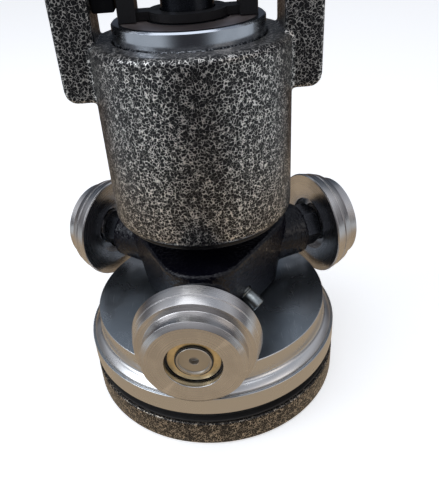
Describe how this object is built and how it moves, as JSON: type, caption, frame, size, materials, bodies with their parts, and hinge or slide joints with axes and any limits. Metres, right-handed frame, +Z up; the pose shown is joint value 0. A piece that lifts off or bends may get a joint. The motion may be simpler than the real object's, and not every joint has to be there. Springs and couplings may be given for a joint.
{
  "type": "roller spindle head",
  "caption": "Spindle head: a forked painted barrel over a three-armed spider with stepped rollers, a stepped disc and a round painted foot.",
  "frame": {"origin": "centre of the foot's underside, on the spindle axis", "axes": "+Z up along the spindle; the yoke's arms stand at -X and +X; the front arm of the spider points near -Y"},
  "size_m": [0.1802, 0.1688, 0.252],
  "materials": {
    "hammer_paint": "black and silver hammertone paint over cast iron",
    "turned_aluminium": "lathe turned, satin",
    "ground_steel": "ground and polished",
    "bearing_steel": "ground bearing steel",
    "gloss_black": "gloss black paint",
    "black_oxide": "black oxide, oiled",
    "brass": "turned brass",
    "black_rubber": "matte black rubber"
  },
  "bodies": {
    "base": {"base_pad": "hammer_paint", "pivot_post": "ground_steel", "gap_seal_ring": "black_rubber", "thrust_washer_lower": "bearing_steel"},
    "disc": {"stepped_disc": "turned_aluminium", "disc_bush": "brass", "thrust_washer_upper": "bearing_steel"},
    "thrust_rollers": {"thrust_cage": "brass"},
    "head": {"yoke_housing": "hammer_paint", "bearing_sleeve": "ground_steel", "upper_seal_plate": "bearing_steel", "lower_race_outer": "bearing_steel", "upper_race_outer": "bearing_steel", "lower_cover": "gloss_black", "jaw_collar": "gloss_black", "tie_bar": "gloss_black"},
    "spindle_and_spider": {"spindle": "black_oxide", "spider": "gloss_black", "spider_key": "ground_steel", "spindle_nut": "black_oxide", "clamp_screw": "ground_steel", "lower_race_inner": "bearing_steel", "upper_race_inner": "bearing_steel", "race_spacer": "bearing_steel", "race_lock_ring": "black_oxide", "axle_stud_1": "ground_steel", "lock_nut_1": "black_oxide", "stud_spacer_1": "bearing_steel", "roller_race_inner_1": "bearing_steel", "brass_washer_1": "brass", "axle_clip_1": "black_oxide", "axle_stud_2": "ground_steel", "lock_nut_2": "black_oxide", "stud_spacer_2": "bearing_steel", "roller_race_inner_2": "bearing_steel", "brass_washer_2": "brass", "axle_clip_2": "black_oxide", "axle_stud_3": "ground_steel", "lock_nut_3": "black_oxide", "stud_spacer_3": "bearing_steel", "roller_race_inner_3": "bearing_steel", "brass_washer_3": "brass", "axle_clip_3": "black_oxide"},
    "lower_rollers": {"lower_cage": "bearing_steel"},
    "upper_rollers": {"upper_cage": "bearing_steel"},
    "wheel_1": {"roller_1": "turned_aluminium", "roller_race_outer_1": "bearing_steel", "bore_clip_1": "black_oxide"},
    "wheel_rollers_1": {"roller_cage_1": "bearing_steel"},
    "wheel_2": {"roller_2": "turned_aluminium", "roller_race_outer_2": "bearing_steel", "bore_clip_2": "black_oxide"},
    "wheel_rollers_2": {"roller_cage_2": "bearing_steel"},
    "wheel_3": {"roller_3": "turned_aluminium", "roller_race_outer_3": "bearing_steel", "bore_clip_3": "black_oxide"},
    "wheel_rollers_3": {"roller_cage_3": "bearing_steel"}
  },
  "joints": [
    {"name": "disc_turn", "type": "hinge", "parent": "base", "child": "disc", "pos_m": [0, 0, 0.0385], "axis": [0, 0, 1], "continuous": true},
    {"name": "thrust_roller_turn", "type": "hinge", "parent": "base", "child": "thrust_rollers", "pos_m": [0, 0, 0.021], "axis": [0, 0, 1], "continuous": true},
    {"name": "head_swivel", "type": "hinge", "parent": "base", "child": "head", "pos_m": [0, 0, 0.16], "axis": [0, 0, 1], "continuous": true},
    {"name": "spindle_turn", "type": "hinge", "parent": "head", "child": "spindle_and_spider", "pos_m": [0, 0, 0.16], "axis": [0, 0, 1], "continuous": true},
    {"name": "lower_roller_turn", "type": "hinge", "parent": "head", "child": "lower_rollers", "pos_m": [0, 0, 0.1248], "axis": [0, 0, 1], "continuous": true},
    {"name": "upper_roller_turn", "type": "hinge", "parent": "head", "child": "upper_rollers", "pos_m": [0, 0, 0.1983], "axis": [0, 0, 1], "continuous": true},
    {"name": "wheel_turn_1", "type": "hinge", "parent": "spindle_and_spider", "child": "wheel_1", "pos_m": [-0.00984, -0.08131, 0.077], "axis": [-0.1201, -0.9928, 0], "continuous": true},
    {"name": "wheel_roller_turn_1", "type": "hinge", "parent": "spindle_and_spider", "child": "wheel_rollers_1", "pos_m": [-0.00984, -0.08131, 0.077], "axis": [-0.1201, -0.9928, 0], "continuous": true},
    {"name": "wheel_turn_2", "type": "hinge", "parent": "spindle_and_spider", "child": "wheel_2", "pos_m": [0.07533, 0.03213, 0.077], "axis": [0.9198, 0.3923, 0], "continuous": true},
    {"name": "wheel_roller_turn_2", "type": "hinge", "parent": "spindle_and_spider", "child": "wheel_rollers_2", "pos_m": [0.07533, 0.03213, 0.077], "axis": [0.9198, 0.3923, 0], "continuous": true},
    {"name": "wheel_turn_3", "type": "hinge", "parent": "spindle_and_spider", "child": "wheel_3", "pos_m": [-0.06549, 0.04917, 0.077], "axis": [-0.7997, 0.6004, 0], "continuous": true},
    {"name": "wheel_roller_turn_3", "type": "hinge", "parent": "spindle_and_spider", "child": "wheel_rollers_3", "pos_m": [-0.06549, 0.04917, 0.077], "axis": [-0.7997, 0.6004, 0], "continuous": true}
  ],
  "couplings": [
    {"joint": "thrust_roller_turn", "follows": "disc_turn", "ratio": 0.5},
    {"joint": "lower_roller_turn", "follows": "spindle_turn", "ratio": 0.4254},
    {"joint": "upper_roller_turn", "follows": "spindle_turn", "ratio": 0.4348},
    {"joint": "wheel_roller_turn_1", "follows": "wheel_turn_1", "ratio": 0.5446},
    {"joint": "wheel_roller_turn_2", "follows": "wheel_turn_2", "ratio": 0.5446},
    {"joint": "wheel_roller_turn_3", "follows": "wheel_turn_3", "ratio": 0.5446}
  ]
}
